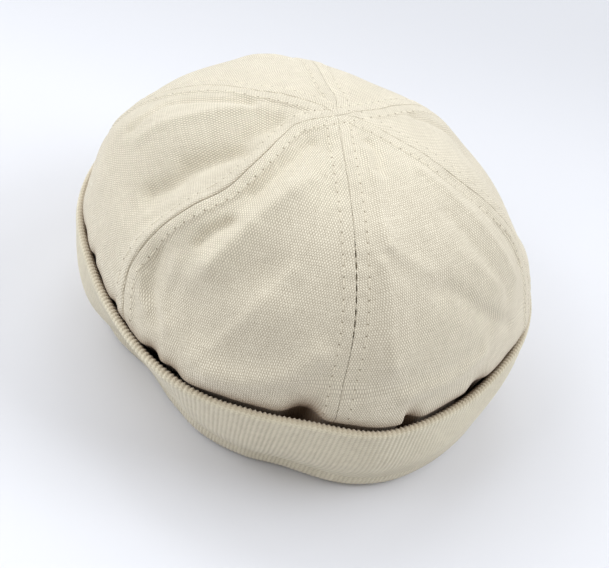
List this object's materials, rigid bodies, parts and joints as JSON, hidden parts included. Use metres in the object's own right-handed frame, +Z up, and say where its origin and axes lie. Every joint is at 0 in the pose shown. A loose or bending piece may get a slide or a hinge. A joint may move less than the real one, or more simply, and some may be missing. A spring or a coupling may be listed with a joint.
{
  "type": "docker beanie",
  "caption": "Brimless sewn canvas cap with wedge-shaped crown panels and a turned-up rib-knit cuff, open below for the head.",
  "frame": {"origin": "on the surface that the cap rests on, below the middle of the cap seen from above", "axes": "+Z up through the crown; the long seam that runs straight over the apex lies along Y, and its dented end points to -Y"},
  "size_m": [0.2052, 0.2004, 0.1184],
  "materials": {
    "canvas": "unbleached plain-weave cotton canvas, matte",
    "rib_knit": "fine vertical rib knit in cotton, matte"
  },
  "bodies": {
    "root": {"crown_panel_front": "canvas", "crown_panel_right_front": "canvas", "crown_panel_right_back": "canvas", "crown_panel_back": "canvas", "crown_panel_left_back": "canvas", "crown_panel_left_front": "canvas", "cuff": "rib_knit"}
  },
  "joints": []
}
